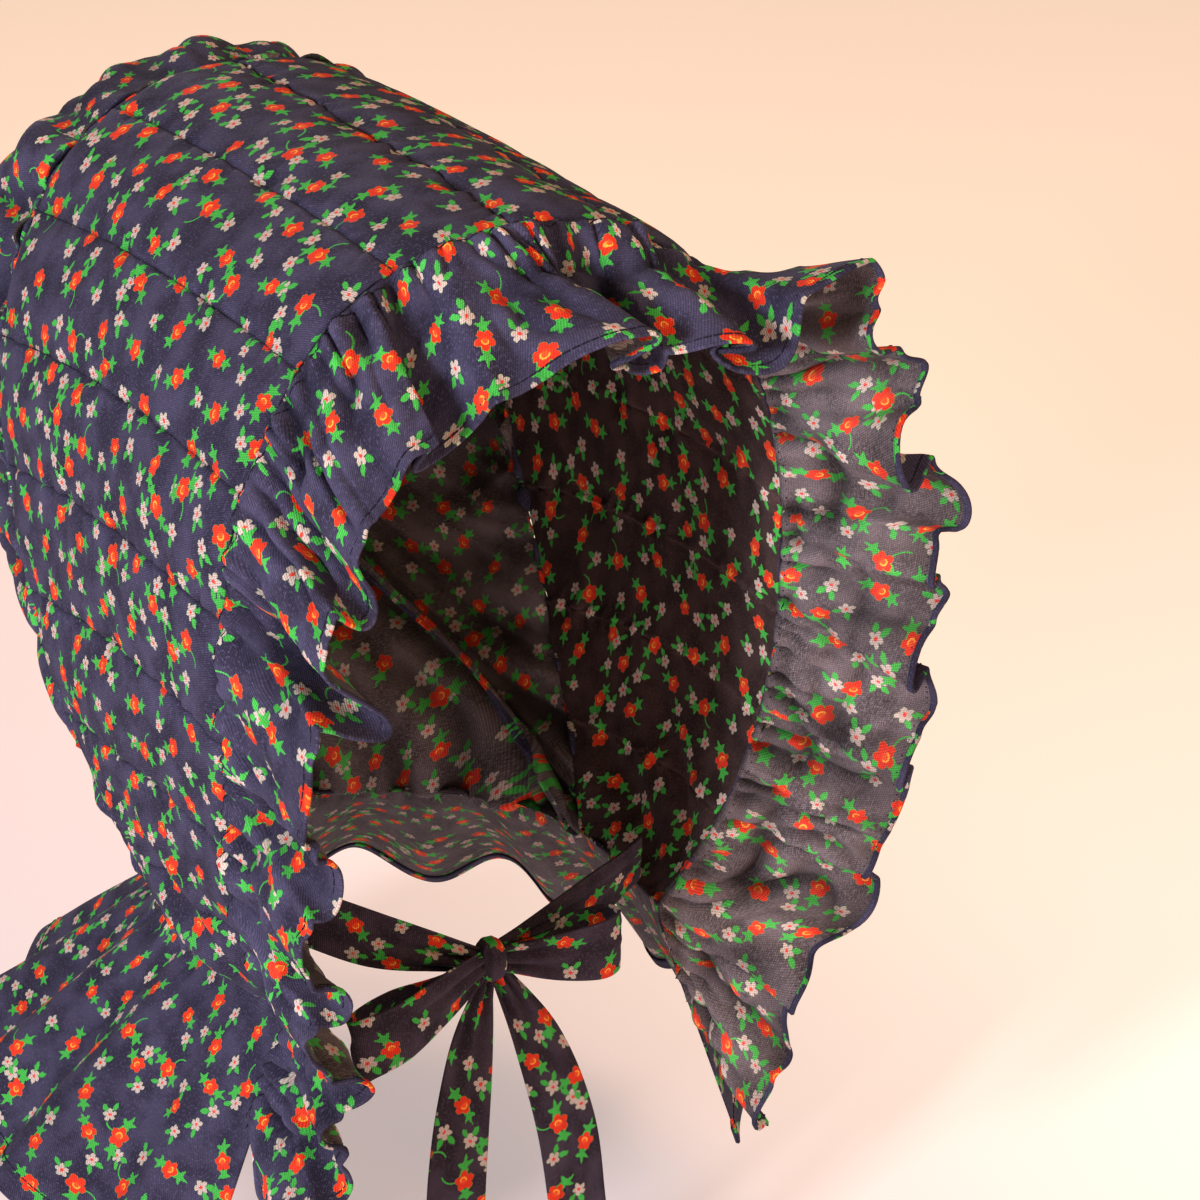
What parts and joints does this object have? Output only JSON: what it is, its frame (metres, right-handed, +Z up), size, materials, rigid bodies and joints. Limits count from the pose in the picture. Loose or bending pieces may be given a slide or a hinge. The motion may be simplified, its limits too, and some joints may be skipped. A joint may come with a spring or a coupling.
{
  "type": "prairie bonnet",
  "caption": "Cloth bonnet with a deep quilted brim, a gathered ruffle round the face, a puffed crown, a neck curtain and chin ties in a bow.",
  "frame": {"origin": "where the crown of the wearer's head touches the inside of the brim's ridge", "axes": "+Z up the wearer's head, -Y the way the face looks, +X towards the wearer's left"},
  "size_m": [0.2766, 0.3175, 0.3976],
  "materials": {
    "quilted_calico": "matte printed cotton",
    "ruffle_calico": "matte printed cotton",
    "crown_calico": "matte printed cotton",
    "curtain_calico": "matte printed cotton",
    "tie_calico": "matte printed cotton"
  },
  "bodies": {
    "root": {"brim": "quilted_calico", "front_ruffle": "ruffle_calico", "crown": "crown_calico", "neck_curtain": "curtain_calico", "tie_right": "tie_calico", "tie_left": "tie_calico", "bow_knot": "tie_calico", "bow_loop_right": "tie_calico", "bow_loop_left": "tie_calico", "tie_tail_right": "tie_calico", "tie_tail_left": "tie_calico"}
  },
  "joints": []
}
